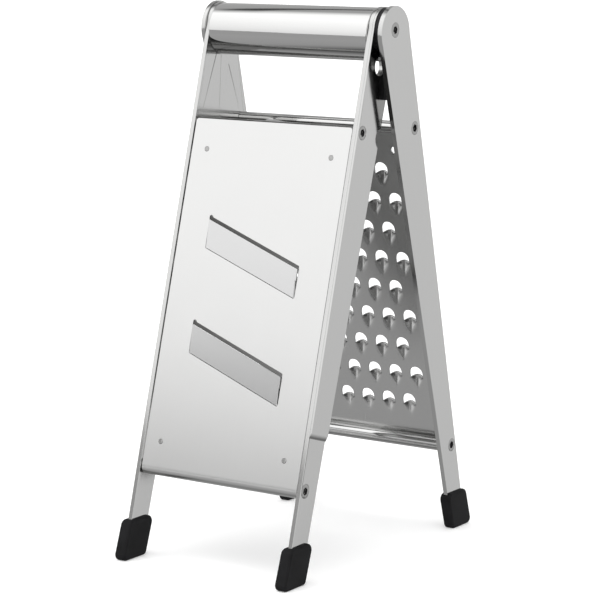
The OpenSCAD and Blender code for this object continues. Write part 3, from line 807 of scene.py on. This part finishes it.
def card(name, y, left, right, low, high, strength):
    """A plain glowing upright card in the plane y that only reflections see."""
    corners = [(left, y, low), (right, y, low), (right, y, high), (left, y, high)]
    mesh = bpy.data.meshes.new(name)
    mesh.from_pydata(corners, [], [(0, 1, 2, 3)])
    made = bpy.data.objects.new(name, mesh)
    bpy.context.scene.collection.objects.link(made)
    glow = Nodes(name)
    glow.shader.inputs["Base Color"].default_value = (0, 0, 0, 1)
    glow.shader.inputs["Specular IOR Level"].default_value = 0.0
    glow.shader.inputs["Emission Color"].default_value = (1, 1, 1, 1)
    glow.shader.inputs["Emission Strength"].default_value = strength
    made.data.materials.append(glow.material)
    made.visible_camera = False
    made.visible_diffuse = False
    made.visible_shadow = False


# brightness by elevation in degrees, in front of the slicer and behind it
FRONT_SKY = [(-90, 0.1), (-60, 0.12), (-52, 0.3), (-46, 0.42), (-40, 0.45), (-14, 0.5), (-8, 1.1),
             (10, 1.3), (50, 1.6), (72, 1.5), (84, 0.5)]
BACK_SKY = [(-90, 0.1), (-76, 0.12), (-66, 0.4), (-36, 0.4), (-28, 0.2), (-14, 0.85), (0, 0.95),
            (8, 0.9), (18, 0.5), (46.5, 0.5), (48.5, 0.08), (52, 0.08), (54, 0.5)]


def studio_world():
    """Studio surroundings with one brightness for each elevation: a bright front and
    ceiling, a back wall that is pale low down, and a dark corner in front on the right."""
    strength = 2.0
    world = bpy.data.worlds.new("studio")
    world.use_nodes = True
    tree = world.node_tree
    place = tree.nodes.new("ShaderNodeTexCoord")
    parts = tree.nodes.new("ShaderNodeSeparateXYZ")
    tree.links.new(place.outputs["Generated"], parts.inputs[0])

    def ramp(stops):
        made = tree.nodes.new("ShaderNodeValToRGB")
        spread = tree.nodes.new("ShaderNodeMapRange")
        spread.inputs["From Min"].default_value = -1.0
        tree.links.new(parts.outputs["Z"], spread.inputs["Value"])
        tree.links.new(spread.outputs["Result"], made.inputs["Fac"])
        elements = made.color_ramp.elements
        elements.remove(elements[1])
        for number, (angle, level) in enumerate(stops):
            position = (math.sin(math.radians(angle)) + 1) / 2
            element = elements.new(position) if number else elements[0]
            element.position = position
            element.color = (level / strength, level / strength, level / strength, 1)
        return made.outputs["Color"]

    side = tree.nodes.new("ShaderNodeMapRange")
    side.inputs["From Min"].default_value = -0.15
    side.inputs["From Max"].default_value = 0.15
    tree.links.new(parts.outputs["Y"], side.inputs["Value"])
    blend = tree.nodes.new("ShaderNodeMix")
    blend.data_type = "RGBA"
    tree.links.new(side.outputs["Result"], blend.inputs["Factor"])
    tree.links.new(ramp(FRONT_SKY), blend.inputs["A"])
    tree.links.new(ramp(BACK_SKY), blend.inputs["B"])
    # the dark corner is full where x > 0.3, y < -0.35 and z < -0.1
    corner = None
    for axis, start, end in (("X", 0.15, 0.3), ("Y", -0.15, -0.35), ("Z", 0.05, -0.1)):
        edge = tree.nodes.new("ShaderNodeMapRange")
        edge.inputs["From Min"].default_value = start
        edge.inputs["From Max"].default_value = end
        tree.links.new(parts.outputs[axis], edge.inputs["Value"])
        if corner is None:
            corner = edge.outputs["Result"]
        else:
            both = tree.nodes.new("ShaderNodeMath")
            both.operation = "MULTIPLY"
            tree.links.new(corner, both.inputs[0])
            tree.links.new(edge.outputs["Result"], both.inputs[1])
            corner = both.outputs["Value"]
    shade = tree.nodes.new("ShaderNodeMix")
    shade.data_type = "RGBA"
    shade.inputs["B"].default_value = (0.02, 0.02, 0.02, 1)
    tree.links.new(corner, shade.inputs["Factor"])
    tree.links.new(blend.outputs["Result"], shade.inputs["A"])
    background = tree.nodes["Background"]
    tree.links.new(shade.outputs["Result"], background.inputs["Color"])
    background.inputs["Strength"].default_value = strength
    bpy.context.scene.world = world


# a pale card low in front of the slicer, with a thin dark line along its top
FLAG_TOP = 0.21
stage_floor()
card("front_flag", -0.6, -2.0, 0.35, 0.0, FLAG_TOP, 0.47)
card("front_line", -0.599, -2.0, -0.405, FLAG_TOP, FLAG_TOP + 0.007, 0.15)
softbox("top_box", (-0.2, -0.2, 1.9), (0, 0, 0), (1.8, 1.8), 14)
studio_world()

camera_data = bpy.data.cameras.new("camera")
camera_data.sensor_width = 36.0
camera_data.lens = 140.0
camera_data.shift_x = 0.01208
camera_data.shift_y = 0.01946
camera_data.clip_end = 50.0
camera = bpy.data.objects.new("camera", camera_data)
bpy.context.scene.collection.objects.link(camera)
YAW, PITCH, ROLL = 0.576, 0.161, 0.012
forward = Vector((-math.sin(YAW) * math.cos(PITCH), math.cos(YAW) * math.cos(PITCH),
                  -math.sin(PITCH)))
level = Vector((math.cos(YAW), math.sin(YAW), 0))
upward = level.cross(forward)
right_axis = level * math.cos(ROLL) + upward * math.sin(ROLL)
up_axis = upward * math.cos(ROLL) - level * math.sin(ROLL)
turn = Matrix((right_axis, up_axis, -forward)).transposed().to_4x4()
camera.matrix_world = Matrix.Translation((0.6855, -1.0646, 0.337)) @ turn
bpy.context.scene.camera = camera
bpy.context.scene.view_settings.view_transform = "Standard"
